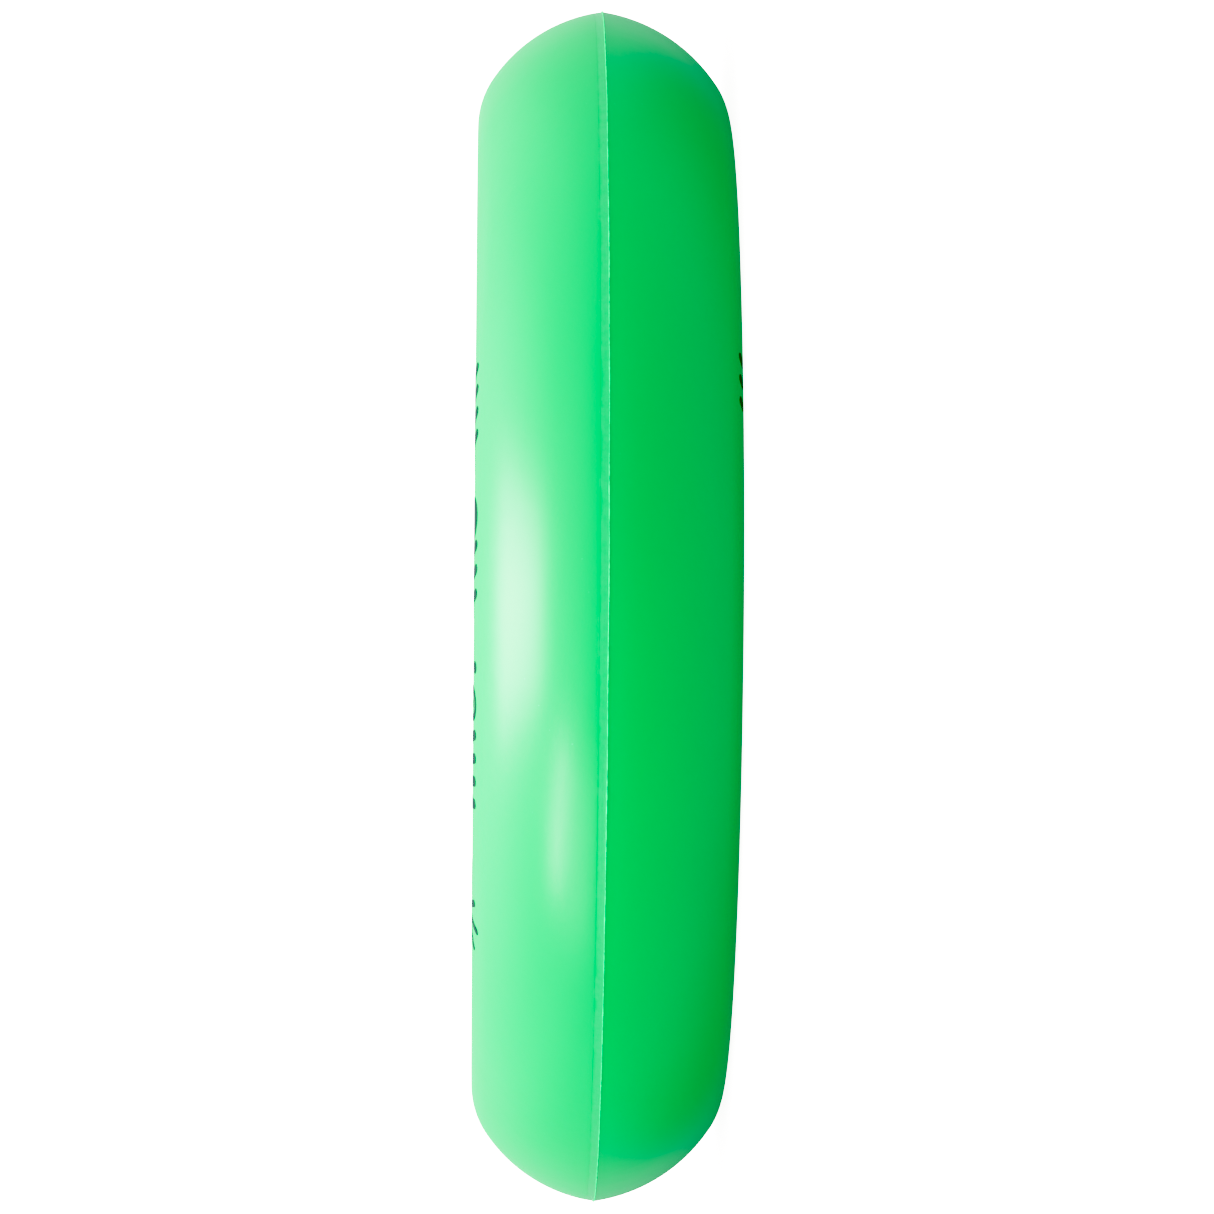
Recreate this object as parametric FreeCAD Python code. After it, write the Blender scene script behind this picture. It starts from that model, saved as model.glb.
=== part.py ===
"""Flying ring: a hollow plastic throwing ring of fat, rounded section, welded together from two half shells.

Millimetres. The ring lies flat: +Z is its axis, and the origin is on that axis at the level of the face it lies on.
Each half shell is an open channel bent into a circle. The halves meet in a shallow ridge at the outer and the inner
seam, where a tongue on the bottom shell stands inside a rebate in the top shell and a thin bead of weld flash is
left. Ink marks are printed on both faces.
"""

import FreeCAD
import Part
import math
import os

# Overall sizes
RING_DIAMETER = 203.2
TUBE_WIDTH = 44.0
TUBE_THICKNESS = 42.7

# Section of the tube, the same on its outer and inner side
WALL = 2.0
FACE_WIDTH = 4.6
RIDGE_SLOPE = 8.0
BLEND_ANGLE = 55.8
SEAM_RISE = 0.4

# Seam: tongue on the bottom shell, rebate in the top shell, bead of flash outside
TONGUE_HEIGHT = 1.5
TONGUE_THICKNESS = 0.9
TONGUE_CLEARANCE = 0.1
BEAD_WIDTH = 0.5
BEAD_HEIGHT = 0.3

# Ink marks. Angles go round the ring from its front, which is the side towards -Y.
INK_THICKNESS = 0.12
TOP_MARKS_LENGTH = 12.0
STROKE_WIDTH = 1.7
STROKE_LEAN = 20.0
STROKE_PITCH = 2.6
STROKE_GROUPS = ((-25.2, 4), (-5.2, 3), (15.2, 4))
BLOCK_ANGLE = -9.6
BLOCK_WIDTH = 7.0
DOT_ANGLE = 6.6
DOT_DIAMETER = 2.0
TARGET_ANGLE = 10.7
TARGET_DIAMETER = 5.8
TARGET_LINE = 1.1
BURST_ANGLE = 37.0
BURST_RAYS = 9
BURST_RAY_LENGTH = 5.0
BURST_RAY_WIDTH = 1.2
BURST_HUB_RADIUS = 2.6
BOTTOM_MARKS_LENGTH = 2.8
BOTTOM_MARKS_MARGIN = 0.1
BOTTOM_MARKS_ANGLE = -27.4
BOTTOM_STROKES = 3

# Derived sizes
RING_RADIUS = RING_DIAMETER / 2
HOLE_RADIUS = RING_RADIUS - TUBE_WIDTH
SEAM_LEVEL = TUBE_THICKNESS / 2 + SEAM_RISE
CROWN_DEPTH = (TUBE_WIDTH - FACE_WIDTH) / 2

AXIS_POINT = FreeCAD.Vector(0, 0, 0)
AXIS = FreeCAD.Vector(0, 0, 1)
SLOPE = math.radians(RIDGE_SLOPE)
BLEND = math.radians(BLEND_ANGLE)
FACE = math.radians(90)


class Half:
    """One half of the tube's section, from the seam up or down to the flat face.

    A crown arc leaves the ridge at RIDGE_SLOPE and a tighter shoulder arc takes over at BLEND_ANGLE and runs level
    into the face. The two radii follow from the height and the depth that the arcs have to cover.
    """

    def __init__(self, height, direction):
        self.direction = direction
        rise_of_crown = math.sin(BLEND) - math.sin(SLOPE)
        rise_of_shoulder = 1 - math.sin(BLEND)
        run_of_crown = math.cos(SLOPE) - math.cos(BLEND)
        run_of_shoulder = math.cos(BLEND)
        scale = rise_of_crown * run_of_shoulder - rise_of_shoulder * run_of_crown
        self.crown = (height * run_of_shoulder - CROWN_DEPTH * rise_of_shoulder) / scale
        self.shoulder = (CROWN_DEPTH * rise_of_crown - height * run_of_crown) / scale

    def point(self, side, angle, inset):
        """The point of the wall where its surface leans by the angle, so far under the outside."""
        radius = self.crown - inset
        depth = self.crown * math.cos(SLOPE)
        height = -self.crown * math.sin(SLOPE)
        if angle > BLEND:
            radius = self.shoulder - inset
            depth -= (self.crown - self.shoulder) * math.cos(BLEND)
            height += (self.crown - self.shoulder) * math.sin(BLEND)
        depth -= radius * math.cos(angle)
        height += radius * math.sin(angle)
        return section_point(side, depth, self.direction * height)

    def lean(self, height, inset):
        """The angle at which the wall leans at a height over the seam, so far under the outside."""
        return math.asin((height + self.crown * math.sin(SLOPE)) / (self.crown - inset))

    def arcs(self, side, start, inset):
        """The two arcs of the wall, from a starting angle to the face."""
        corners = (start, BLEND, FACE)
        edges = []
        for low, high in zip(corners, corners[1:]):
            points = [self.point(side, angle, inset) for angle in (low, (low + high) / 2, high)]
            edges.append(Part.Arc(*points).toShape())
        return edges


def section_point(side, depth, height):
    """A point of the section, at a depth in from the ridge and a height over the seam."""
    radius = RING_RADIUS - depth if side == "outer" else HOLE_RADIUS + depth
    return FreeCAD.Vector(radius, 0, SEAM_LEVEL + height)


def polyline(points):
    return [Part.LineSegment(a, b).toShape() for a, b in zip(points, points[1:])]


def revolved(edges):
    """The solid that a closed outline in the XZ plane sweeps round the ring's axis."""
    outline = Part.Wire(Part.sortEdges(edges)[0])
    solid = Part.Face(outline).revolve(AXIS_POINT, AXIS, 360)
    return Part.makeSolid(Part.makeShell(solid.Faces))


top_half = Half(TUBE_THICKNESS - SEAM_LEVEL, 1)
bottom_half = Half(SEAM_LEVEL, -1)


def tongue_depth():
    """How far the bottom shell's inside surface lies under the ridge, at the seam."""
    return RING_RADIUS - bottom_half.point("outer", bottom_half.lean(0, WALL), WALL).x


def shell(half, joint_outline, cavity_height):
    """A channel-shaped half shell, closed at each side of the seam by the outline of its joint."""
    cavity_start = half.lean(cavity_height, WALL)
    edges = []
    for side in ("outer", "inner"):
        edges += half.arcs(side, SLOPE, 0)
        edges += half.arcs(side, cavity_start, WALL)
        points = [section_point(side, depth, height) for depth, height in joint_outline]
        edges += polyline([half.point(side, SLOPE, 0)] + points + [half.point(side, cavity_start, WALL)])
    for inset in (0, WALL):
        edges += polyline([half.point("outer", FACE, inset), half.point("inner", FACE, inset)])
    return revolved(edges)


def top_shell():
    rebate_depth = tongue_depth() - TONGUE_THICKNESS - TONGUE_CLEARANCE
    rebate_height = TONGUE_HEIGHT + TONGUE_CLEARANCE
    return shell(top_half, [(rebate_depth, 0), (rebate_depth, rebate_height)], rebate_height)


def bottom_shell():
    root = tongue_depth()
    tip = root - TONGUE_THICKNESS
    return shell(bottom_half, [(tip, 0), (tip, TONGUE_HEIGHT), (root, TONGUE_HEIGHT)], 0)


def weld_bead(side):
    """A thin bead of flash that sits astride the ridge and follows both shells' surfaces."""
    edges = []
    feet = []
    for half in (top_half, bottom_half):
        lean = SLOPE + BEAD_WIDTH / 2 / half.crown
        corners = [half.point(side, angle, 0) for angle in (SLOPE, (SLOPE + lean) / 2, lean)]
        edges.append(Part.Arc(*corners).toShape())
        feet.append(corners[-1])
    crest = section_point(side, -BEAD_HEIGHT, 0)
    edges.append(Part.Arc(feet[0], crest, feet[1]).toShape())
    return revolved(edges)


def ink_skin(half):
    """A skin of ink thickness over the whole outside of one half."""
    edges = []
    for inset in (0, -INK_THICKNESS):
        for side in ("outer", "inner"):
            edges += half.arcs(side, SLOPE, inset)
        edges += polyline([half.point("outer", FACE, inset), half.point("inner", FACE, inset)])
    for side in ("outer", "inner"):
        edges += polyline([half.point(side, SLOPE, 0), half.point(side, SLOPE, -INK_THICKNESS)])
    return revolved(edges)


def stroke(length, width):
    """A bar with round ends along X, centred on the origin, tall enough to cut a whole half shell."""
    straight = length / 2 - width / 2
    radius = width / 2
    corners = [
        FreeCAD.Vector(straight, -radius, 0),
        FreeCAD.Vector(straight, radius, 0),
        FreeCAD.Vector(-straight, radius, 0),
        FreeCAD.Vector(-straight, -radius, 0),
    ]
    tips = [FreeCAD.Vector(straight + radius, 0, 0), FreeCAD.Vector(-straight - radius, 0, 0)]
    edges = [
        Part.Arc(corners[0], tips[0], corners[1]).toShape(),
        Part.LineSegment(corners[1], corners[2]).toShape(),
        Part.Arc(corners[2], tips[1], corners[3]).toShape(),
        Part.LineSegment(corners[3], corners[0]).toShape(),
    ]
    return Part.Face(Part.Wire(edges)).extrude(AXIS * TUBE_THICKNESS)


def disc(diameter):
    return Part.makeCylinder(diameter / 2, TUBE_THICKNESS)


def target():
    """A dot in a round ring, with as much ink across the ring's line as across the gap."""
    ring = disc(TARGET_DIAMETER).cut(disc(TARGET_DIAMETER - 2 * TARGET_LINE))
    return Part.makeCompound([ring, disc(TARGET_DIAMETER - 4 * TARGET_LINE)])


def burst():
    """Short rays round a bare centre."""
    middle = BURST_HUB_RADIUS + BURST_RAY_LENGTH / 2
    rays = []
    for index in range(BURST_RAYS):
        ray = stroke(BURST_RAY_LENGTH, BURST_RAY_WIDTH)
        ray.translate(FreeCAD.Vector(middle, 0, 0))
        ray.rotate(AXIS_POINT, AXIS, 360 / BURST_RAYS * index)
        rays.append(ray)
    return Part.makeCompound(rays)


def leaning_stroke(length):
    """A stroke turned by STROKE_LEAN, which still spans the same length along X."""
    bar = stroke((length - STROKE_WIDTH) / math.cos(math.radians(STROKE_LEAN)) + STROKE_WIDTH, STROKE_WIDTH)
    bar.rotate(AXIS_POINT, AXIS, STROKE_LEAN)
    return bar


def placed(mark, angle, inset, level):
    """A mark moved to its place on the ring, with its middle so far in from the ring's rim."""
    mark.translate(FreeCAD.Vector(RING_RADIUS - inset, 0, level))
    mark.rotate(AXIS_POINT, AXIS, -90 - angle)
    return mark


def printed(half, marks):
    """The ink that the marks leave on one half's outside, each mark a separate solid."""
    skin = ink_skin(half)
    solids = []
    for mark in marks:
        for outline in mark.Solids:
            solids += skin.common(outline).Solids
    return Part.makeCompound(solids)


def top_print():
    """Marks centred on the flat face. The dot and the target start level with the strokes' outer ends."""
    middle = TUBE_WIDTH / 2
    nearest = middle - TOP_MARKS_LENGTH / 2
    marks = []
    for first_angle, count in STROKE_GROUPS:
        for index in range(count):
            angle = first_angle + index * STROKE_PITCH
            marks.append(placed(leaning_stroke(TOP_MARKS_LENGTH), angle, middle, SEAM_LEVEL))
    marks.append(placed(stroke(TOP_MARKS_LENGTH, BLOCK_WIDTH), BLOCK_ANGLE, middle, SEAM_LEVEL))
    marks.append(placed(disc(DOT_DIAMETER), DOT_ANGLE, nearest + DOT_DIAMETER / 2, SEAM_LEVEL))
    marks.append(placed(target(), TARGET_ANGLE, nearest + TARGET_DIAMETER / 2, SEAM_LEVEL))
    marks.append(placed(burst(), BURST_ANGLE, middle, SEAM_LEVEL))
    return printed(top_half, marks)


def bottom_print():
    """Marks that stop short of the flat face, so that the ring never rests on its ink."""
    shoulder = bottom_half.shoulder
    reach_of_ink = math.sqrt((shoulder + INK_THICKNESS) ** 2 - shoulder**2)
    middle = CROWN_DEPTH - reach_of_ink - BOTTOM_MARKS_MARGIN - BOTTOM_MARKS_LENGTH / 2
    level = SEAM_LEVEL - TUBE_THICKNESS
    marks = []
    for index in range(BOTTOM_STROKES):
        angle = BOTTOM_MARKS_ANGLE + index * STROKE_PITCH
        marks.append(placed(leaning_stroke(BOTTOM_MARKS_LENGTH), angle, middle, level))
    return printed(bottom_half, marks)


def main():
    nodes = {
        "top_shell": top_shell(),
        "bottom_shell": bottom_shell(),
        "outer_weld_bead": weld_bead("outer"),
        "inner_weld_bead": weld_bead("inner"),
        "top_print": top_print(),
        "bottom_print": bottom_print(),
    }
    os.makedirs("parts", exist_ok=True)
    for name, shape in nodes.items():
        shape.exportStep(os.path.join("parts", name + ".step"))
        print(f"{name}: {len(shape.Solids)} solids, valid {shape.isValid()}, {shape.Volume:.1f} mm3")


main()
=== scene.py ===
import math
import random

import bpy
from mathutils import Matrix, Vector, noise


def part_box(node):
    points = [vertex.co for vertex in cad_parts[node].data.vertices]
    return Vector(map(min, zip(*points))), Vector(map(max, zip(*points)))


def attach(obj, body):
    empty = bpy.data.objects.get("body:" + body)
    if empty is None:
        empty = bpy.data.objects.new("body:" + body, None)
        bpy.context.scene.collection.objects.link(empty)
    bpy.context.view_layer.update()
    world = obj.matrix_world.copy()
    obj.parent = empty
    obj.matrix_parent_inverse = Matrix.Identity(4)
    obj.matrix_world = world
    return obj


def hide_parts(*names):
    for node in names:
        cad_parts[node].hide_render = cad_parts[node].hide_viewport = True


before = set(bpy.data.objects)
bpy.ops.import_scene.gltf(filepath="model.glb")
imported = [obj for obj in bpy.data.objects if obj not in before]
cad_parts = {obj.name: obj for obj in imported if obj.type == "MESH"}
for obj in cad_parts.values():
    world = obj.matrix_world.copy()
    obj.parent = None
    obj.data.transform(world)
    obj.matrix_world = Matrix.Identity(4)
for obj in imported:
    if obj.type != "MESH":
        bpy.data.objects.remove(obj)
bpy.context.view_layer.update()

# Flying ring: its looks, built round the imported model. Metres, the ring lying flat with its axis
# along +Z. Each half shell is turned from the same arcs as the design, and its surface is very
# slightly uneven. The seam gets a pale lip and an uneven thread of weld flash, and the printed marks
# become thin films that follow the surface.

MM = 0.001

# Sizes read from the frame
shell_low, shell_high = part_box("top_shell")
SEAM_LEVEL = shell_low.z
TOP_LEVEL = shell_high.z
BOTTOM_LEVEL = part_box("bottom_shell")[0].z
RING_RADIUS = shell_high.x
HOLE_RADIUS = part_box("inner_weld_bead")[1].x
BEAD_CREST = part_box("outer_weld_bead")[1].x - RING_RADIUS
TUBE_WIDTH = RING_RADIUS - HOLE_RADIUS

# Section of the tube, as designed
FACE_WIDTH = 4.6 * MM
WALL = 2.0 * MM
SLOPE = math.radians(8.0)
BLEND = math.radians(55.8)
FACE = math.radians(90)
TONGUE_HEIGHT = 1.5 * MM
TONGUE_THICKNESS = 0.9 * MM
TONGUE_CLEARANCE = 0.1 * MM
CROWN_DEPTH = (TUBE_WIDTH - FACE_WIDTH) / 2

# Fineness of the turned shells
SHELL_STEPS = 420
CROWN_STEPS = 34
SHOULDER_STEPS = 26
LIP_STEPS = 4
LIP_RAMP_STEPS = 6
CAVITY_STEPS = 10
FACE_STEPS = 4
SHELL_SHARP = math.radians(25)

# The top shell's thin lip over the rebate, which stands a little lower than the rest of the surface
LIP_WIDTH = 1.35 * MM
LIP_STEP = 0.02 * MM
LIP_RAMP = 0.20 * MM

# Slight unevenness of the moulded surface: wide and finer dents, as shares of the depth
DENT_DEPTH = 0.05 * MM
DENT_PER_METRE = 22
DENT_FINER = 3.1
DENT_MIDDLE = 0.5
DENT_WIDE_SHARE = 0.35
DENT_FINE_SHARE = 0.15


class Half:
    """One half of the section: a crown arc from the ridge, then a tighter shoulder arc to the face."""

    def __init__(self, height, direction):
        self.direction = direction
        rise_of_crown = math.sin(BLEND) - math.sin(SLOPE)
        rise_of_shoulder = 1 - math.sin(BLEND)
        run_of_crown = math.cos(SLOPE) - math.cos(BLEND)
        run_of_shoulder = math.cos(BLEND)
        scale = rise_of_crown * run_of_shoulder - rise_of_shoulder * run_of_crown
        self.crown = (height * run_of_shoulder - CROWN_DEPTH * rise_of_shoulder) / scale
        self.shoulder = (CROWN_DEPTH * rise_of_crown - height * run_of_crown) / scale

    def section(self, angle, inset):
        """Depth in from the ridge and height over the seam where the surface leans by the angle."""
        radius = self.crown - inset
        depth = self.crown * math.cos(SLOPE)
        height = -self.crown * math.sin(SLOPE)
        if angle > BLEND:
            radius = self.shoulder - inset
            depth -= (self.crown - self.shoulder) * math.cos(BLEND)
            height += (self.crown - self.shoulder) * math.sin(BLEND)
        return depth - radius * math.cos(angle), height + radius * math.sin(angle)

    def point(self, side, angle, inset=0.0):
        depth, height = self.section(angle, inset)
        return self.place(side, depth, height)

    def place(self, side, depth, height):
        """Radius and level of a point given by its depth and its height over the seam."""
        radius = RING_RADIUS - depth if side == "outer" else HOLE_RADIUS + depth
        return radius, SEAM_LEVEL + self.direction * height

    def lean(self, height, inset):
        """The angle at which the wall leans at a height over the seam."""
        return math.asin((height + self.crown * math.sin(SLOPE)) / (self.crown - inset))

    def lean_at_depth(self, depth):
        """The angle at which the outside leans, so far in from the ridge."""
        on_shoulder = (CROWN_DEPTH - depth) / self.shoulder
        if on_shoulder <= math.cos(BLEND):
            return math.acos(max(0.0, on_shoulder))
        return math.acos(min(1.0, (self.crown * math.cos(SLOPE) - depth) / self.crown))


top_half = Half(TOP_LEVEL - SEAM_LEVEL, 1)
bottom_half = Half(SEAM_LEVEL - BOTTOM_LEVEL, -1)
tongue_root = RING_RADIUS - bottom_half.point("outer", bottom_half.lean(0, WALL), WALL)[0]


def spread(low, high, steps):
    return [low + (high - low) * index / steps for index in range(steps + 1)]


def smooth_step(value):
    value = min(1.0, max(0.0, value))
    return value * value * (3 - 2 * value)


def dent(position):
    """How far the moulded surface lies under its ideal shape at a place."""
    wide = noise.noise(position * DENT_PER_METRE)
    fine = noise.noise(position * DENT_PER_METRE * DENT_FINER)
    return DENT_DEPTH * (DENT_MIDDLE + DENT_WIDE_SHARE * wide + DENT_FINE_SHARE * fine)


def outside(half, side, lipped):
    """The outside of one half on one side, from the ridge to the face."""
    angles = spread(SLOPE, BLEND, CROWN_STEPS)
    if lipped:
        lip_end = SLOPE + LIP_WIDTH / half.crown
        ramp_end = lip_end + LIP_RAMP / half.crown
        angles = spread(SLOPE, lip_end, LIP_STEPS)
        angles += spread(lip_end, ramp_end, LIP_RAMP_STEPS)[1:]
        angles += spread(ramp_end, BLEND, CROWN_STEPS)[1:]
    angles += spread(BLEND, FACE, SHOULDER_STEPS)[1:]
    points = []
    for angle in angles:
        along = (angle - SLOPE) * half.crown
        inset = LIP_STEP * (1 - smooth_step((along - LIP_WIDTH) / LIP_RAMP)) if lipped else 0.0
        points.append(half.point(side, angle, inset))
    return points


def cavity(half, side, start):
    """The inside of one half on one side, from its joint to the roof of the hollow."""
    angles = spread(start, BLEND, CAVITY_STEPS) + spread(BLEND, FACE, CAVITY_STEPS)[1:]
    return [half.point(side, angle, WALL) for angle in angles]


def shell_outline(half, joint, cavity_height, lipped):
    """The closed outline of a half shell, and how many of its points are on the outside."""
    start = half.lean(cavity_height, WALL)
    outer, inner = outside(half, "outer", lipped), outside(half, "inner", lipped)
    (outer_edge, face_level), (inner_edge, _) = outer[-1], inner[-1]
    land = [(radius, face_level) for radius in spread(outer_edge, inner_edge, FACE_STEPS)[1:-1]]
    skin = outer + land + inner[::-1]
    inner_joint = [half.place("inner", depth, height) for depth, height in joint]
    outer_joint = [half.place("outer", depth, height) for depth, height in joint]
    hollow = cavity(half, "inner", start) + cavity(half, "outer", start)[::-1]
    return skin + inner_joint + hollow + outer_joint[::-1], len(skin)


def mesh_object(name, vertices, faces, material):
    mesh = bpy.data.meshes.new(name)
    mesh.from_pydata(vertices, [], faces)
    mesh.validate()
    mesh.materials.append(material)
    thing = bpy.data.objects.new(name, mesh)
    bpy.context.scene.collection.objects.link(thing)
    return thing


def ring_faces(around, across, flipped):
    """Quads that join each cross-section of a closed ring to the next."""
    faces = []
    for i in range(around):
        for j in range(across):
            a = i * across + j
            b = i * across + (j + 1) % across
            c = (i + 1) % around * across + (j + 1) % across
            d = (i + 1) % around * across + j
            faces.append((a, d, c, b) if flipped else (a, b, c, d))
    return faces


def polar(radius, turn, level):
    return Vector((radius * math.cos(turn), radius * math.sin(turn), level))


def turned_shell(name, half, joint, cavity_height, lipped):
    """A half shell as one closed mesh, with its outside very slightly uneven."""
    outline, skin_count = shell_outline(half, joint, cavity_height, lipped)
    vertices = []
    for i in range(SHELL_STEPS):
        turn = math.tau * i / SHELL_STEPS
        for radius, level in outline:
            vertices.append(polar(radius, turn, level))
    faces = ring_faces(SHELL_STEPS, len(outline), flipped=half.direction > 0)
    thing = mesh_object(name, vertices, faces, shell_green)
    mesh = thing.data
    mesh.shade_smooth()
    mesh.set_sharp_from_angle(angle=SHELL_SHARP)
    normals = [Vector(vertex.normal) for vertex in mesh.vertices]
    edge_of_skin = (0, skin_count - 1)
    for index, vertex in enumerate(mesh.vertices):
        place = index % len(outline)
        if place < skin_count and place not in edge_of_skin:
            vertex.co -= normals[index] * dent(vertex.co)
    return thing


# Node trees

# A Mix node's colour sockets, by number because its other sockets have the same names
MIX_COLOURS = (6, 7)
MIX_RESULT = 2
# Where most of a noise pattern's values lie
NOISE_SPAN = (0.3, 0.7)


class Tree:
    """A node tree with short calls for what the recipes below need."""

    def __init__(self, tree):
        self.tree = tree

    def add(self, kind, **settings):
        node = self.tree.nodes.new(kind)
        for key, value in settings.items():
            setattr(node, key, value)
        return node

    def link(self, source, target):
        self.tree.links.new(source, target)

    def range(self, source, low, high, new_low=0.0, new_high=1.0, **settings):
        """The source with low and high taken to the new ones, and held there beyond them."""
        node = self.add("ShaderNodeMapRange", **settings)
        for socket, value in zip(node.inputs[1:5], (low, high, new_low, new_high)):
            socket.default_value = value
        self.link(source, node.inputs["Value"])
        return node.outputs["Result"]

    def arithmetic(self, operation, first, second=None):
        node = self.add("ShaderNodeMath", operation=operation)
        self.link(first, node.inputs[0])
        if second is not None:
            self.link(second, node.inputs[1])
        return node.outputs["Value"]

    def mix(self, factor, first, second):
        """Blend of two colours, each a colour or another node's output."""
        node = self.add("ShaderNodeMix", data_type="RGBA")
        self.link(factor, node.inputs["Factor"])
        for index, colour in zip(MIX_COLOURS, (first, second)):
            if isinstance(colour, tuple):
                node.inputs[index].default_value = (*colour, 1.0)
            else:
                self.link(colour, node.inputs[index])
        return node.outputs[MIX_RESULT]


class Finish(Tree):
    """A material's node tree. A pattern's scale is how often it repeats in a metre."""

    def __init__(self, name):
        self.material = bpy.data.materials.new(name)
        self.material.use_nodes = True
        super().__init__(self.material.node_tree)
        self.shader = self.tree.nodes["Principled BSDF"]
        self.place = self.add("ShaderNodeTexCoord").outputs["Object"]

    def noise(self, scale, detail, roughness=0.5):
        node = self.add("ShaderNodeTexNoise")
        node.inputs["Scale"].default_value = scale
        node.inputs["Detail"].default_value = detail
        node.inputs["Roughness"].default_value = roughness
        self.link(self.place, node.inputs["Vector"])
        return node.outputs["Fac"]

    def patches(self, scale, detail, roughness=0.5, span=NOISE_SPAN, levels=(0.0, 1.0)):
        """Noise whose values over the span become those between the two levels."""
        return self.range(self.noise(scale, detail, roughness), *span, *levels)

    def specks(self, scale, size):
        """1 in small round spots and 0 between them."""
        node = self.add("ShaderNodeTexVoronoi")
        node.inputs["Scale"].default_value = scale
        self.link(self.place, node.inputs["Vector"])
        return self.range(node.outputs["Distance"], 0.0, size, 1.0, 0.0)

    def level(self):
        """Height over the ground."""
        node = self.add("ShaderNodeSeparateXYZ")
        self.link(self.place, node.inputs["Vector"])
        return node.outputs["Z"]

    def bump(self, source, depth, under=None):
        node = self.add("ShaderNodeBump")
        node.inputs["Distance"].default_value = depth
        node.inputs["Strength"].default_value = 1.0
        self.link(source, node.inputs["Height"])
        if under is not None:
            self.link(under, node.inputs["Normal"])
        return node.outputs["Normal"]

    def done(self, colour, roughness, normal, **fixed):
        """The material, with its patterns linked and its fixed values set on the shader itself."""
        self.link(colour, self.shader.inputs["Base Color"])
        self.link(roughness, self.shader.inputs["Roughness"])
        self.link(normal, self.shader.inputs["Normal"])
        for name, value in fixed.items():
            self.shader.inputs[name.replace("_", " ")].default_value = value
        return self.material


# Materials

GREEN = (0.0, 0.40, 0.045)
CLOUD_SHADE = 0.92
CLOUDED_GREEN = tuple(CLOUD_SHADE * part for part in GREEN)
PALE_SPECK = (0.06, 0.55, 0.16)
SHELL_GLOSS = (0.285, 0.335)
MILKY_DEPTH = 3.0 * MM
LIP_GREEN = (0.022, 0.37, 0.070)
FLASH_GREEN = (0.02, 0.50, 0.09)
FLASH_WHITE = (0.10, 0.92, 0.20)
FLASH_GLOSS = (0.4, 0.6)
INK = (0.012, 0.020, 0.016)
INK_WORN = (0.03, 0.07, 0.045)
INK_GLOSS = (0.55, 0.7)
FLOOR_WHITE = (0.93, 0.93, 0.93)
FLOOR_GREY = (0.90, 0.90, 0.90)
FLOOR_GLOSS = (0.75, 0.85)

# Levels of the lip's colour: where it starts, and where it fades out, give or take its ragged edge
LIP_START = (SEAM_LEVEL - 0.1 * LIP_WIDTH, SEAM_LEVEL)
LIP_END = (SEAM_LEVEL + 0.75 * LIP_WIDTH, SEAM_LEVEL + 1.15 * LIP_WIDTH)
LIP_RAGGED = (-0.3 * LIP_WIDTH, 0.3 * LIP_WIDTH)


def lip_strength(finish):
    """1 on the top shell's lip, mottled, and 0 away from it."""
    level = finish.level()
    ragged = finish.patches(scale=220, detail=4, roughness=0.65, levels=LIP_RAGGED)
    below_end = finish.range(finish.arithmetic("ADD", level, ragged), *LIP_END, 1.0, 0.0)
    above_start = finish.range(level, *LIP_START)
    band = finish.arithmetic("MULTIPLY", below_end, above_start)
    mottle = finish.patches(scale=900, detail=3, roughness=0.6, span=(0.35, 0.6), levels=(0.55, 1.0))
    return finish.arithmetic("MULTIPLY", band, mottle)


def moulded_green():
    """Semi-gloss, slightly milky plastic: clouds, specks, a pale lip, an orange-peel surface."""
    finish = Finish("shell_green")
    clouds = finish.patches(scale=14, detail=2, span=(0.35, 0.65))
    base = finish.mix(clouds, GREEN, CLOUDED_GREEN)
    speckled = finish.patches(scale=90, detail=1, span=(0.52, 0.6))
    specks = finish.arithmetic("MULTIPLY", finish.specks(scale=420, size=0.05), speckled)
    spotted = finish.mix(specks, base, PALE_SPECK)
    colour = finish.mix(lip_strength(finish), spotted, LIP_GREEN)
    gloss = finish.patches(scale=35, detail=3, levels=SHELL_GLOSS)
    peel = finish.bump(finish.noise(scale=260, detail=2), depth=0.02 * MM)
    grain = finish.bump(finish.noise(scale=2400, detail=2), depth=0.004 * MM, under=peel)
    return finish.done(
        colour,
        gloss,
        grain,
        IOR=1.6,
        Subsurface_Weight=0.12,
        Subsurface_Radius=(0.2, 1.0, 0.35),
        Subsurface_Scale=MILKY_DEPTH,
    )


def weld_flash():
    """Stress-whitened plastic squeezed out of the weld."""
    finish = Finish("weld_flash")
    whitened = finish.patches(scale=700, detail=4, roughness=0.7, span=(0.4, 0.62))
    colour = finish.mix(whitened, FLASH_GREEN, FLASH_WHITE)
    gloss = finish.patches(scale=400, detail=2, levels=FLASH_GLOSS)
    grain = finish.bump(finish.noise(scale=2600, detail=3), depth=0.03 * MM)
    return finish.done(colour, gloss, grain, IOR=1.45)


def printing_ink():
    """Flat black ink with a little of the green showing through where it is thin."""
    finish = Finish("black_ink")
    thin = finish.patches(scale=900, detail=4, roughness=0.7, span=(0.55, 0.75))
    wear = finish.arithmetic("MULTIPLY", thin, finish.noise(scale=120, detail=1))
    colour = finish.mix(wear, INK, INK_WORN)
    gloss = finish.patches(scale=500, detail=2, levels=INK_GLOSS)
    grain = finish.bump(finish.noise(scale=3000, detail=2), depth=0.01 * MM)
    return finish.done(colour, gloss, grain, IOR=1.45, Specular_IOR_Level=0.15)


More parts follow.
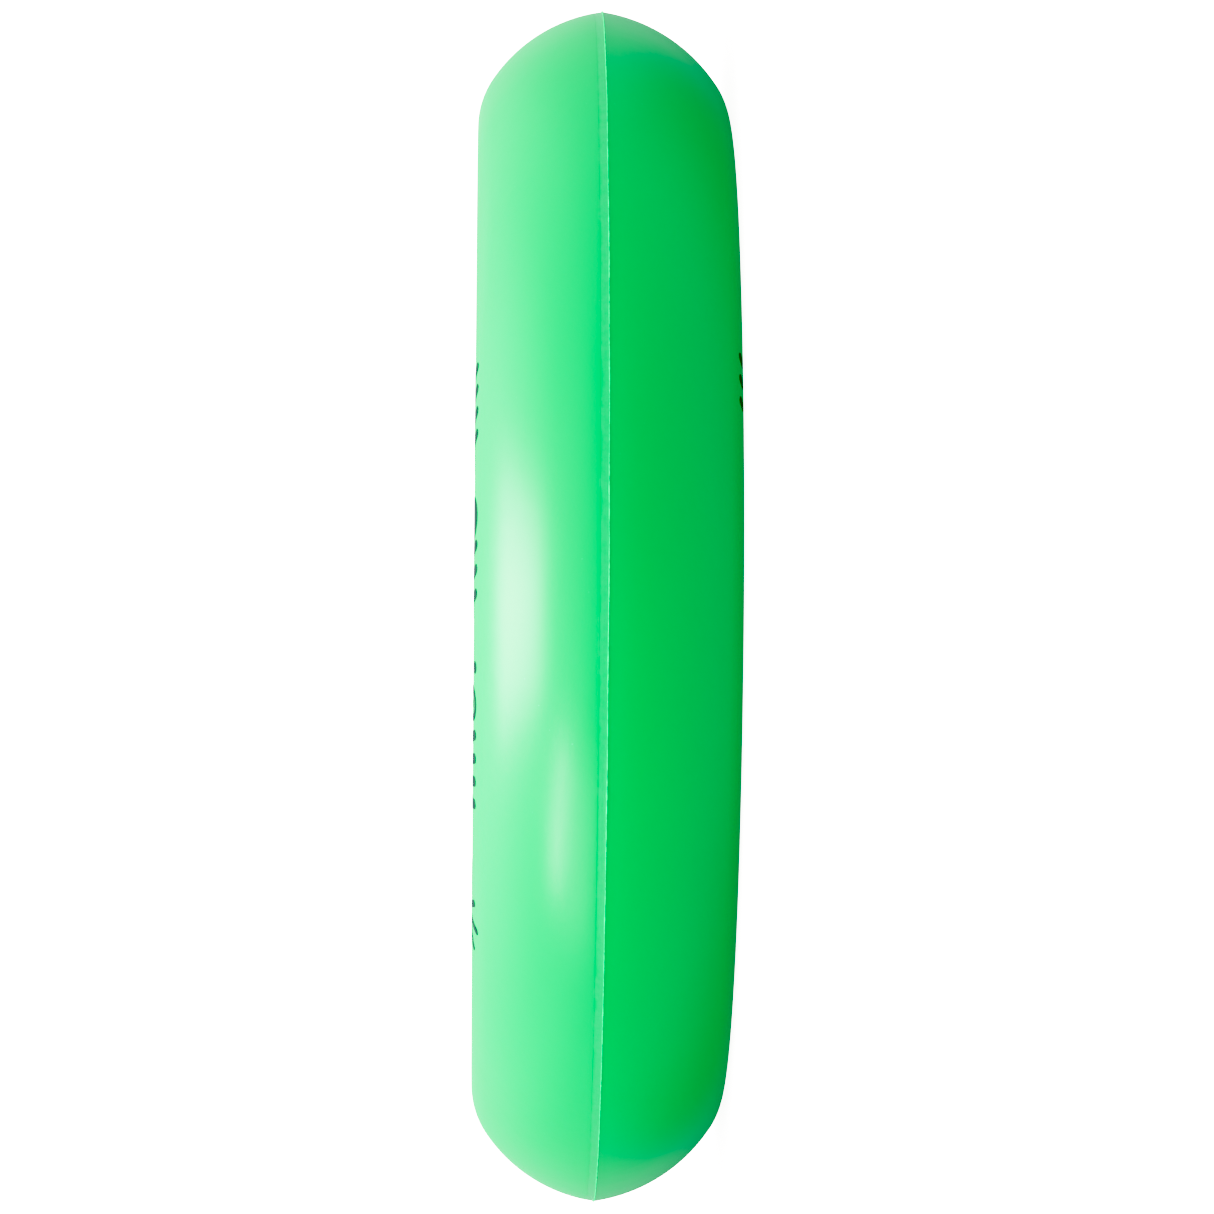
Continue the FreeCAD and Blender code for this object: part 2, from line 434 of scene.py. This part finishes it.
def pale_floor():
    """White ground with a glow of its own, so that it shows as white as the background."""
    finish = Finish("pale_floor")
    colour = finish.mix(finish.noise(scale=3, detail=2), FLOOR_WHITE, FLOOR_GREY)
    gloss = finish.patches(scale=5, detail=2, levels=FLOOR_GLOSS)
    grain = finish.bump(finish.noise(scale=40, detail=2), depth=0.1 * MM)
    return finish.done(
        colour, gloss, grain, IOR=1.3, Emission_Color=(1, 1, 1, 1), Emission_Strength=1.8
    )


shell_green = moulded_green()
flash = weld_flash()
ink = printing_ink()

# Half shells: the bottom one's tongue stands in the top one's rebate

rebate = tongue_root - TONGUE_THICKNESS - TONGUE_CLEARANCE
rebate_height = TONGUE_HEIGHT + TONGUE_CLEARANCE
rebate_outline = [(rebate, 0), (rebate, rebate_height)]
tip = tongue_root - TONGUE_THICKNESS
tongue_outline = [(tip, 0), (tip, TONGUE_HEIGHT), (tongue_root, TONGUE_HEIGHT)]

upper_shell = turned_shell("upper_shell", top_half, rebate_outline, rebate_height, lipped=True)
lower_shell = turned_shell("lower_shell", bottom_half, tongue_outline, 0, lipped=False)

# Weld flash: a thread with round corners, kept a little under the design's bead
FLASH_STEPS = 2600
FLASH_CORNERS = 9
FLASH_HEIGHT = 0.10 * MM
FLASH_WIDTH = 0.20 * MM
FLASH_ROOT = 0.12 * MM
FLASH_BULGE = 0.8
FLASH_CLEARANCE = 0.01 * MM
# Its unevenness: waves and ripples per metre, how far the height, the width and the line vary with
# them, and how far off in metres a thread's own pattern may start
FLASH_WAVES = 160
FLASH_RIPPLES = 900
RIPPLE_SHARE = 0.5
HEIGHT_VARIES = 0.35
WIDTH_VARIES = 0.22
LINE_WAVES = 60
LINE_WAVES_SHIFT = 0.05 * MM
LINE_RIPPLES = 400
LINE_RIPPLES_SHIFT = 0.02 * MM
PATTERN_REACH = 50
# Small lumps on it: half their length in millimetres, how large they are, what the largest adds to
# the height and the width, and how many half lengths away they are still felt
NODULES = 70
NODULE_HALF_LENGTH = (0.25, 0.9)
NODULE_SIZE = (0.3, 1.0)
NODULE_HEIGHT = 0.11 * MM
NODULE_WIDENS = 0.5
NODULE_REACH = 3


def nodules(draw, radius):
    """Small lumps along the flash: where each is, half its length as an angle, and its size."""
    lumps = []
    for _ in range(NODULES):
        half_length = draw.uniform(*NODULE_HALF_LENGTH) * MM / radius
        lumps.append((draw.uniform(0, math.tau), half_length, draw.uniform(*NODULE_SIZE)))
    return lumps


def swelling(lumps, turn):
    """How much the lumps swell the flash at a turn round the ring, from 0 to 1."""
    swell = 0.0
    for middle, half_length, size in lumps:
        away = (turn - middle + math.pi) % math.tau - math.pi
        if abs(away) < NODULE_REACH * half_length:
            swell = max(swell, size * math.exp(-((away / half_length) ** 2)))
    return swell


def line_shift(place):
    """How far the flash wanders from the seam's level."""
    waves = LINE_WAVES_SHIFT * noise.noise(place * LINE_WAVES)
    return waves + LINE_RIPPLES_SHIFT * noise.noise(place * LINE_RIPPLES)


def flash_thread(name, side, seed):
    """An uneven thread of flash that sits astride the ridge all round one seam."""
    draw = random.Random(seed)
    radius = RING_RADIUS if side == "outer" else HOLE_RADIUS
    outward = 1 if side == "outer" else -1
    lumps = nodules(draw, radius)
    drift = Vector((draw.uniform(0, PATTERN_REACH), draw.uniform(0, PATTERN_REACH), 0))
    vertices = []
    for i in range(FLASH_STEPS):
        turn = math.tau * i / FLASH_STEPS
        place = polar(radius, turn, 0) + drift
        swell = swelling(lumps, turn)
        ripples = noise.noise(place * FLASH_RIPPLES) * RIPPLE_SHARE
        rough = ripples + noise.noise(place * FLASH_WAVES)
        height = FLASH_HEIGHT * (1 + HEIGHT_VARIES * rough) + NODULE_HEIGHT * swell
        height = min(height, BEAD_CREST - FLASH_CLEARANCE)
        half_width = FLASH_WIDTH / 2 * (1 + WIDTH_VARIES * rough + NODULE_WIDENS * swell)
        level = SEAM_LEVEL + line_shift(place)
        for j in range(FLASH_CORNERS):
            around = math.pi * j / (FLASH_CORNERS - 1)
            lift = -FLASH_ROOT + (height + FLASH_ROOT) * math.sin(around) ** FLASH_BULGE
            across = half_width * math.cos(around)
            vertices.append(polar(radius + outward * lift, turn, level + across))
    faces = ring_faces(FLASH_STEPS, FLASH_CORNERS, flipped=side == "inner")
    thing = mesh_object(name, vertices, faces, flash)
    thing.data.shade_smooth()
    return thing


outer_flash = flash_thread("outer_flash", "outer", seed=11)
inner_flash = flash_thread("inner_flash", "inner", seed=23)

# Printed marks, laid out as in the design. Angles in degrees go round the ring from its front, which
# is towards -Y.
FRONT = -90
TOP_MARKS_LENGTH = 12.0 * MM
STROKE_WIDTH = 1.7 * MM
STROKE_LEAN = math.radians(20.0)
STROKE_PITCH = 2.6
STROKE_GROUPS = ((-25.2, 4), (-5.2, 3), (15.2, 4))
BLOCK_ANGLE = -9.6
BLOCK_WIDTH = 7.0 * MM
DOT_ANGLE = 6.6
DOT_DIAMETER = 2.0 * MM
TARGET_ANGLE = 10.7
TARGET_DIAMETER = 5.8 * MM
TARGET_LINE = 1.1 * MM
BURST_ANGLE = 37.0
BURST_RAYS = 9
BURST_RAY_LENGTH = 5.0 * MM
BURST_RAY_WIDTH = 1.2 * MM
BURST_HUB_RADIUS = 2.6 * MM
INK_THICKNESS = 0.12 * MM
BOTTOM_MARKS_LENGTH = 2.8 * MM
BOTTOM_MARKS_MARGIN = 0.1 * MM
BOTTOM_MARKS_ANGLE = -27.4
BOTTOM_STROKES = 3

# The films in place of the design's ink: how high they stand and how deep they are rooted, and the
# share of its width that a stroke's round end narrows to
INK_FILM = 0.05 * MM
INK_ROOT = 0.03 * MM
INK_SHARP = math.radians(40)
STROKE_TIP = 0.05


class Film:
    """Gathers flat marks and lays them on one half of the ring as thin closed films."""

    def __init__(self, half):
        self.half = half
        self.vertices = []
        self.faces = []

    def on_surface(self, flat, lift):
        """The point over a flat place, at a height along the surface's normal."""
        radius = flat.length
        heading = flat / radius
        middle = RING_RADIUS - TUBE_WIDTH / 2
        depth = RING_RADIUS - radius if radius > middle else radius - HOLE_RADIUS
        side = 1 if radius > middle else -1
        lean = self.half.lean_at_depth(depth)
        height = self.half.section(lean, 0)[1]
        level = SEAM_LEVEL + self.half.direction * height
        normal = Vector((*(heading * math.cos(lean) * side), math.sin(lean) * self.half.direction))
        place = Vector((flat.x, flat.y, level))
        return place + normal * (lift - dent(place))

    def add(self, rows, closed=False):
        """One mark from rows of flat points across it, joined end to start if closed."""
        start = len(self.vertices)
        across = len(rows[0])
        per_row = 2 * across
        for row in rows:
            for point in row:
                self.vertices.append(self.on_surface(point, INK_FILM))
            for point in reversed(row):
                self.vertices.append(self.on_surface(point, -INK_ROOT))
        flipped = self.half.direction < 0
        last = len(rows) if closed else len(rows) - 1
        for i in range(last):
            for j in range(per_row):
                a = start + i * per_row + j
                b = start + i * per_row + (j + 1) % per_row
                c = start + (i + 1) % len(rows) * per_row + (j + 1) % per_row
                d = start + (i + 1) % len(rows) * per_row + j
                self.faces.append((a, b, c, d) if flipped else (a, d, c, b))
        if not closed:
            first = [start + j for j in range(per_row)]
            final = [start + (len(rows) - 1) * per_row + j for j in range(per_row)]
            self.faces.append(tuple(first if not flipped else reversed(first)))
            self.faces.append(tuple(reversed(final)) if not flipped else tuple(final))

    def piece(self, name):
        thing = mesh_object(name, self.vertices, self.faces, ink)
        thing.data.shade_smooth()
        thing.data.set_sharp_from_angle(angle=INK_SHARP)
        return thing


def flat_place(angle, inset, along, across):
    """A flat point, at lengths outward and sideways from a mark's centre."""
    turn = math.radians(FRONT - angle)
    heading = Vector((math.cos(turn), math.sin(turn)))
    sideways = Vector((-heading.y, heading.x))
    return heading * (RING_RADIUS - inset + along) + sideways * across


def stroke_rows(length, width, lean, angle, inset, shift=0.0, steps=22, columns=5):
    """A bar with round ends, leaning about the mark's centre and moved along itself by the shift."""
    rows = []
    half_width = width / 2
    straight = length / 2 - half_width
    for i in range(steps + 1):
        along = -(straight + half_width) * math.cos(math.pi * i / steps)
        beyond = max(0.0, abs(along) - straight)
        share = math.sqrt(max(0.0, 1 - (beyond / half_width) ** 2))
        reach = max(STROKE_TIP, share) * half_width
        row = []
        for j in range(columns + 1):
            across = reach * (2 * j / columns - 1)
            x = (along + shift) * math.cos(lean) - across * math.sin(lean)
            y = (along + shift) * math.sin(lean) + across * math.cos(lean)
            row.append(flat_place(angle, inset, x, y))
        rows.append(row)
    return rows


def leaning_rows(length, angle, inset):
    """A leaning stroke that reaches as far across the tube as the length."""
    long = (length - STROKE_WIDTH) / math.cos(STROKE_LEAN) + STROKE_WIDTH
    return stroke_rows(long, STROKE_WIDTH, STROKE_LEAN, angle, inset)


def ring_rows(diameter, line, angle, inset, steps=40, columns=3):
    """A flat round line."""
    rows = []
    for i in range(steps):
        turn = -math.tau * i / steps
        row = []
        for j in range(columns + 1):
            radius = diameter / 2 - line * (1 - j / columns)
            row.append(flat_place(angle, inset, radius * math.cos(turn), radius * math.sin(turn)))
        rows.append(row)
    return rows


def top_marks():
    """Marks centred on the face. The dot and the target start level with the strokes' outer ends."""
    film = Film(top_half)
    middle = TUBE_WIDTH / 2
    nearest = middle - TOP_MARKS_LENGTH / 2
    for first_angle, count in STROKE_GROUPS:
        for index in range(count):
            film.add(leaning_rows(TOP_MARKS_LENGTH, first_angle + index * STROKE_PITCH, middle))
    block = stroke_rows(TOP_MARKS_LENGTH, BLOCK_WIDTH, 0, BLOCK_ANGLE, middle, steps=30, columns=10)
    film.add(block)
    film.add(stroke_rows(DOT_DIAMETER, DOT_DIAMETER, 0, DOT_ANGLE, nearest + DOT_DIAMETER / 2))
    target = nearest + TARGET_DIAMETER / 2
    film.add(ring_rows(TARGET_DIAMETER, TARGET_LINE, TARGET_ANGLE, target), closed=True)
    centre = TARGET_DIAMETER - 4 * TARGET_LINE
    film.add(stroke_rows(centre, centre, 0, TARGET_ANGLE, target))
    shift = BURST_HUB_RADIUS + BURST_RAY_LENGTH / 2
    for index in range(BURST_RAYS):
        lean = math.tau * index / BURST_RAYS
        film.add(stroke_rows(BURST_RAY_LENGTH, BURST_RAY_WIDTH, lean, BURST_ANGLE, middle, shift))
    return film.piece("upper_marks")


def bottom_marks():
    """Marks that stop short of the face, by the design's margin and the reach of its thicker ink."""
    film = Film(bottom_half)
    reach_of_ink = math.sqrt((bottom_half.shoulder + INK_THICKNESS) ** 2 - bottom_half.shoulder**2)
    middle = CROWN_DEPTH - reach_of_ink - BOTTOM_MARKS_MARGIN - BOTTOM_MARKS_LENGTH / 2
    for index in range(BOTTOM_STROKES):
        angle = BOTTOM_MARKS_ANGLE + index * STROKE_PITCH
        film.add(leaning_rows(BOTTOM_MARKS_LENGTH, angle, middle))
    return film.piece("lower_marks")


upper_marks = top_marks()
lower_marks = bottom_marks()

for piece, node, finish_slot in (
    (upper_shell, "top_shell", "shell_green"),
    (lower_shell, "bottom_shell", "shell_green"),
    (outer_flash, "outer_weld_bead", "weld_flash"),
    (inner_flash, "inner_weld_bead", "weld_flash"),
    (upper_marks, "top_print", "black_ink"),
    (lower_marks, "bottom_print", "black_ink"),
):
    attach(piece, "root")
    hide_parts(node)

# Floor, seen by the camera alone so that it throws no light on the ring

FLOOR_RADIUS = 4.0
FLOOR_CORNERS = 64
floor_edge = [
    polar(FLOOR_RADIUS, math.tau * i / FLOOR_CORNERS, BOTTOM_LEVEL) for i in range(FLOOR_CORNERS)
]
floor = mesh_object("floor", floor_edge, [tuple(range(FLOOR_CORNERS))], pale_floor())
floor.visible_diffuse = False
floor.visible_glossy = False
floor.visible_transmission = False
floor.visible_shadow = False

# Camera: just above the ring's own level, and turned on its side so that the ring's axis lies across
# the picture

CAMERA_DISTANCE = 10 * RING_RADIUS
CAMERA_RISE = math.radians(1.1)
CAMERA_ROLL = math.radians(0.4)
# Millimetres
SENSOR = 36.0
LENS = 175.5
# Shares of the picture's width
SHIFT = (0.0066, -0.0004)
# Limits of its view, in metres
NEAREST = 0.01
FURTHEST = 20.0


def add_camera():
    data = bpy.data.cameras.new("camera")
    camera = bpy.data.objects.new("camera", data)
    bpy.context.scene.collection.objects.link(camera)
    back = Vector((0, -math.cos(CAMERA_RISE), math.sin(CAMERA_RISE)))
    flat_right = Vector((0, -math.sin(CAMERA_RISE), -math.cos(CAMERA_RISE)))
    flat_up = back.cross(flat_right)
    right = flat_right * math.cos(CAMERA_ROLL) + flat_up * math.sin(CAMERA_ROLL)
    up = flat_up * math.cos(CAMERA_ROLL) - flat_right * math.sin(CAMERA_ROLL)
    centre = Vector((0, 0, (TOP_LEVEL + BOTTOM_LEVEL) / 2))
    turn = Matrix((right, up, back)).transposed().to_4x4()
    camera.matrix_world = Matrix.Translation(centre + back * CAMERA_DISTANCE) @ turn
    data.sensor_width = SENSOR
    data.lens = LENS
    data.shift_x, data.shift_y = SHIFT
    data.clip_start = NEAREST
    data.clip_end = FURTHEST
    bpy.context.scene.camera = camera


add_camera()

# Light


def softbox(name, direction, distance, size, radiance):
    """A rectangular light that faces the ring, in a direction from it."""
    data = bpy.data.lights.new(name, "AREA")
    data.shape = "RECTANGLE"
    data.size, data.size_y = size
    data.energy = radiance * math.pi * size[0] * size[1]
    light = bpy.data.objects.new(name, data)
    bpy.context.scene.collection.objects.link(light)
    heading = Vector(direction).normalized()
    light.location = Vector((0, 0, SEAM_LEVEL)) + heading * distance
    light.rotation_mode = "QUATERNION"
    light.rotation_quaternion = heading.to_track_quat("Z", "Y")


def towards(azimuth, elevation):
    """Direction from the ring: azimuth from the front towards +X, both in degrees."""
    a, e = math.radians(azimuth), math.radians(elevation)
    return (math.sin(a) * math.cos(e), -math.cos(a) * math.cos(e), math.sin(e))


softbox("key", (0, -0.2, 1), distance=1.2, size=(0.56, 0.85), radiance=9.0)
softbox("strip", towards(-46.5, 42), distance=1.3, size=(0.60, 0.18), radiance=11.0)
softbox("fill", towards(-50, 28), distance=1.5, size=(0.90, 0.40), radiance=2.0)

# The studio round the ring, as brightness against height: -1 is straight below, 1 straight above
AHEAD = ((-1.0, 1.0), (-0.6, 0.65), (-0.28, 1.0), (0.3, 1.45), (0.6, 3.0), (1.0, 4.0))
ASIDE = ((-1.0, 0.8), (-0.1, 0.8), (0.2, 1.75), (0.65, 2.5), (1.0, 4.0))
BEHIND = ((-1.0, 0.1), (-0.45, 0.1), (-0.12, 0.7), (0.3, 0.95), (0.6, 1.75), (1.0, 4.0))
BEHIND_MIDDLE = ((-1.0, 0.15), (-0.15, 0.15), (0.05, 0.85), (0.3, 0.95), (0.6, 1.75), (1.0, 4.0))
BRIGHTEST = 4.0
# What the camera sees past the ring, well over full white
SEEN_WHITE = 4.0
# Where one part gives way to the next, along a direction's +Y or to either side of it
AHEAD_TO_ASIDE = (-0.8, -0.4)
ASIDE_TO_BEHIND = (0.0, 0.85)
MIDDLE_TO_SIDES = (0.15, 0.4)


class Studio(Tree):
    """The ring's surroundings: bright overhead, pale ahead and aside, and dark low down behind."""

    def __init__(self):
        world = bpy.data.worlds.new("studio")
        bpy.context.scene.world = world
        world.use_nodes = True
        super().__init__(world.node_tree)

    def ramp(self, height, levels):
        """Brightness by height, as a share of the brightest."""
        node = self.add("ShaderNodeValToRGB")
        node.color_ramp.interpolation = "EASE"
        stops = node.color_ramp.elements
        while len(stops) < len(levels):
            stops.new(0.5)
        for stop, (level, _) in zip(stops, levels):
            stop.position = (level + 1) / 2
        for stop, (_, brightness) in zip(stops, levels):
            stop.color = (*[brightness / BRIGHTEST] * 3, 1.0)
        self.link(height, node.inputs[0])
        return node.outputs["Color"]

    def blend(self, along, limits, first, second):
        """The first colour up to the lower limit along a direction, and the second past the upper."""
        share = self.range(along, *limits, interpolation_type="SMOOTHSTEP")
        return self.mix(share, first, second)

    def surroundings(self):
        direction = self.add("ShaderNodeSeparateXYZ")
        self.link(self.add("ShaderNodeTexCoord").outputs["Generated"], direction.inputs[0])
        height = self.range(direction.outputs["Z"], -1, 1)
        ahead, aside, behind, behind_middle = (
            self.ramp(height, levels) for levels in (AHEAD, ASIDE, BEHIND, BEHIND_MIDDLE)
        )
        depth = direction.outputs["Y"]
        across = self.arithmetic("ABSOLUTE", direction.outputs["X"])
        front = self.blend(depth, AHEAD_TO_ASIDE, ahead, aside)
        back = self.blend(across, MIDDLE_TO_SIDES, behind_middle, behind)
        return self.blend(depth, ASIDE_TO_BEHIND, front, back)

    def build(self):
        """Lights the ring from all round, while the camera itself sees plain white."""
        around = self.tree.nodes["Background"]
        around.inputs["Strength"].default_value = BRIGHTEST
        self.link(self.surroundings(), around.inputs["Color"])
        seen = self.add("ShaderNodeBackground")
        seen.inputs["Color"].default_value = (1, 1, 1, 1)
        seen.inputs["Strength"].default_value = SEEN_WHITE
        choice = self.add("ShaderNodeMixShader")
        self.link(self.add("ShaderNodeLightPath").outputs["Is Camera Ray"], choice.inputs[0])
        self.link(around.outputs[0], choice.inputs[1])
        self.link(seen.outputs[0], choice.inputs[2])
        self.link(choice.outputs[0], self.tree.nodes["World Output"].inputs[0])


Studio().build()

# The camera's response: brightness in, brightness out. The black level takes the last red and a
# little blue out of so pure a green.
SHARED_CURVE = 3
BLACK_LEVEL = (0.105, 0.0, 0.035)
RESPONSE = ((0.6, 0.62), (1.0, 0.80), (1.6, 0.91))
FULL_WHITE = 3.0


def camera_response():
    settings = bpy.context.scene.view_settings
    settings.view_transform = "Standard"
    settings.use_curve_mapping = True
    mapping = settings.curve_mapping
    mapping.black_level = BLACK_LEVEL
    mapping.clip_max_x = FULL_WHITE
    shared = mapping.curves[SHARED_CURVE]
    shared.points[1].location = (FULL_WHITE, 1.0)
    for level in RESPONSE:
        shared.points.new(*level)
    mapping.update()


camera_response()
